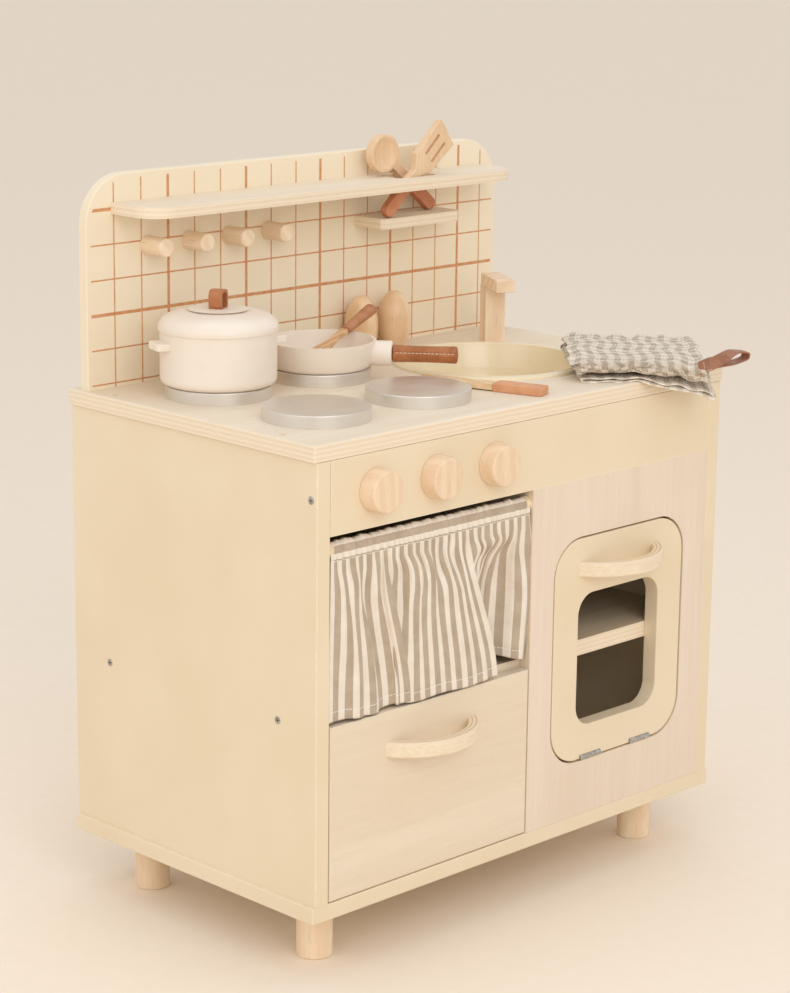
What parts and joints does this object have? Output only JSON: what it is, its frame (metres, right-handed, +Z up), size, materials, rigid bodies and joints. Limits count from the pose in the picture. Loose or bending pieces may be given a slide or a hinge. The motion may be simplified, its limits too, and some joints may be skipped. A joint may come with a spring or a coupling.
{
  "type": "toy kitchen",
  "caption": "low wooden play kitchen with a worktop, hob discs, sink and tap, splashback shelves, curtained bay, drawer and drop-down oven door, with loose pots, tools and a cloth",
  "frame": {"origin": "on the floor, under the middle of the whole object, the overhanging cloth included", "axes": "+Z up, front of the kitchen faces -Y, +X to the right seen from the front"},
  "size_m": [0.5402, 0.3666, 0.6856],
  "materials": {
    "cream_paint": "satin cream paint over wood",
    "splash_paint": "satin cream with a printed terracotta grid",
    "whitewashed_ply": "pale washed plywood",
    "beech": "clear matt lacquer",
    "golden_wood": "glossy lacquered turned wood",
    "terracotta_paint": "matt terracotta paint over wood",
    "silver_paint": "brushed silver paint over wood",
    "steel": "plain",
    "sink_gloss": "gloss",
    "white_enamel": "satin enamel",
    "tan_leather": "smooth",
    "brown_leather": "smooth",
    "curtain_cotton": "striped woven cotton",
    "waffle_cotton": "checked waffle weave"
  },
  "bodies": {
    "cabinet": {"base_board": "cream_paint", "leg_front_left": "beech", "leg_front_right": "beech", "leg_rear_left": "beech", "leg_rear_right": "beech", "left_side": "cream_paint", "right_side": "cream_paint", "divider": "cream_paint", "back_panel": "cream_paint", "apron": "cream_paint", "oven_surround": "whitewashed_ply", "bay_shelf": "whitewashed_ply", "oven_shelf": "whitewashed_ply", "side_screws": "steel", "worktop": "whitewashed_ply", "worktop_plugs": "beech", "hob_discs": "silver_paint", "sink_basin": "sink_gloss", "tap_post": "beech", "tap_spout": "beech", "splashback": "splash_paint", "rack_shelf": "whitewashed_ply", "tool_perch": "whitewashed_ply", "wall_pegs": "beech", "hinge_frame_leaves": "steel", "hinge_pins": "steel", "curtain_rod": "beech", "rod_cups": "beech", "curtain": "curtain_cotton"},
    "oven_door": {"oven_door": "cream_paint", "door_handle": "beech", "hinge_door_leaves": "steel"},
    "drawer": {"drawer_front": "whitewashed_ply", "drawer_left": "whitewashed_ply", "drawer_right": "whitewashed_ply", "drawer_back": "whitewashed_ply", "drawer_floor": "whitewashed_ply", "drawer_handle": "beech"},
    "knob_left": {"knob_left": "beech", "knob_screw_left": "steel"},
    "knob_middle": {"knob_middle": "beech", "knob_screw_middle": "steel"},
    "knob_right": {"knob_right": "beech", "knob_screw_right": "steel"},
    "pot": {"pot_body": "white_enamel", "pot_lugs": "white_enamel"},
    "lid": {"pot_lid": "white_enamel", "lid_loop": "tan_leather"},
    "pan": {"pan_body": "white_enamel", "pan_grip": "brown_leather"},
    "spatula": {"pan_spatula": "beech", "spatula_grip": "brown_leather"},
    "turner": {"slotted_turner": "beech"},
    "spoon": {"round_spoon": "beech"},
    "shaker_left": {"shaker_left": "golden_wood"},
    "shaker_right": {"shaker_right": "golden_wood"},
    "knife": {"knife_blade": "beech", "knife_haft": "terracotta_paint"},
    "cloth": {"cloth": "waffle_cotton", "cloth_tab": "tan_leather"}
  },
  "joints": [
    {"name": "oven_door_hinge", "type": "hinge", "parent": "cabinet", "child": "oven_door", "pos_m": [0.11539, -0.13613, 0.1242], "axis": [1, 0, 0], "range_deg": [0, 90]},
    {"name": "drawer_slide", "type": "slide", "parent": "cabinet", "child": "drawer", "axis": [0, -1, 0], "range_m": [0, 0.2]},
    {"name": "knob_left_turn", "type": "hinge", "parent": "cabinet", "child": "knob_left", "pos_m": [-0.20036, -0.14, 0.422], "axis": [0, -1, 0], "continuous": true},
    {"name": "knob_middle_turn", "type": "hinge", "parent": "cabinet", "child": "knob_middle", "pos_m": [-0.12886, -0.14, 0.422], "axis": [0, -1, 0], "continuous": true},
    {"name": "knob_right_turn", "type": "hinge", "parent": "cabinet", "child": "knob_right", "pos_m": [-0.05736, -0.14, 0.422], "axis": [0, -1, 0], "continuous": true},
    {"name": "pot_lift", "type": "slide", "parent": "cabinet", "child": "pot", "axis": [0, 0, 1], "range_m": [0, 0.04]},
    {"name": "lid_lift", "type": "slide", "parent": "pot", "child": "lid", "axis": [0, 0, 1], "range_m": [0, 0.03]},
    {"name": "pan_lift", "type": "slide", "parent": "cabinet", "child": "pan", "axis": [0, 0, 1], "range_m": [0, 0.04]},
    {"name": "spatula_lift", "type": "slide", "parent": "pan", "child": "spatula", "axis": [0, 0, 1], "range_m": [0, 0.03]},
    {"name": "turner_draw", "type": "slide", "parent": "cabinet", "child": "turner", "axis": [0.7314, 0, 0.682], "range_m": [0, 0.03]},
    {"name": "spoon_draw", "type": "slide", "parent": "cabinet", "child": "spoon", "axis": [-0.766, 0, 0.6428], "range_m": [0, 0.03]},
    {"name": "shaker_left_lift", "type": "slide", "parent": "cabinet", "child": "shaker_left", "axis": [0, 0, 1], "range_m": [0, 0.04]},
    {"name": "shaker_right_lift", "type": "slide", "parent": "cabinet", "child": "shaker_right", "axis": [0, 0, 1], "range_m": [0, 0.04]},
    {"name": "knife_draw", "type": "slide", "parent": "cabinet", "child": "knife", "axis": [0.2905, -0.9212, 0.2588], "range_m": [0, 0.03]},
    {"name": "cloth_lift", "type": "slide", "parent": "cabinet", "child": "cloth", "axis": [0, 0, 1], "range_m": [0, 0.04]}
  ]
}
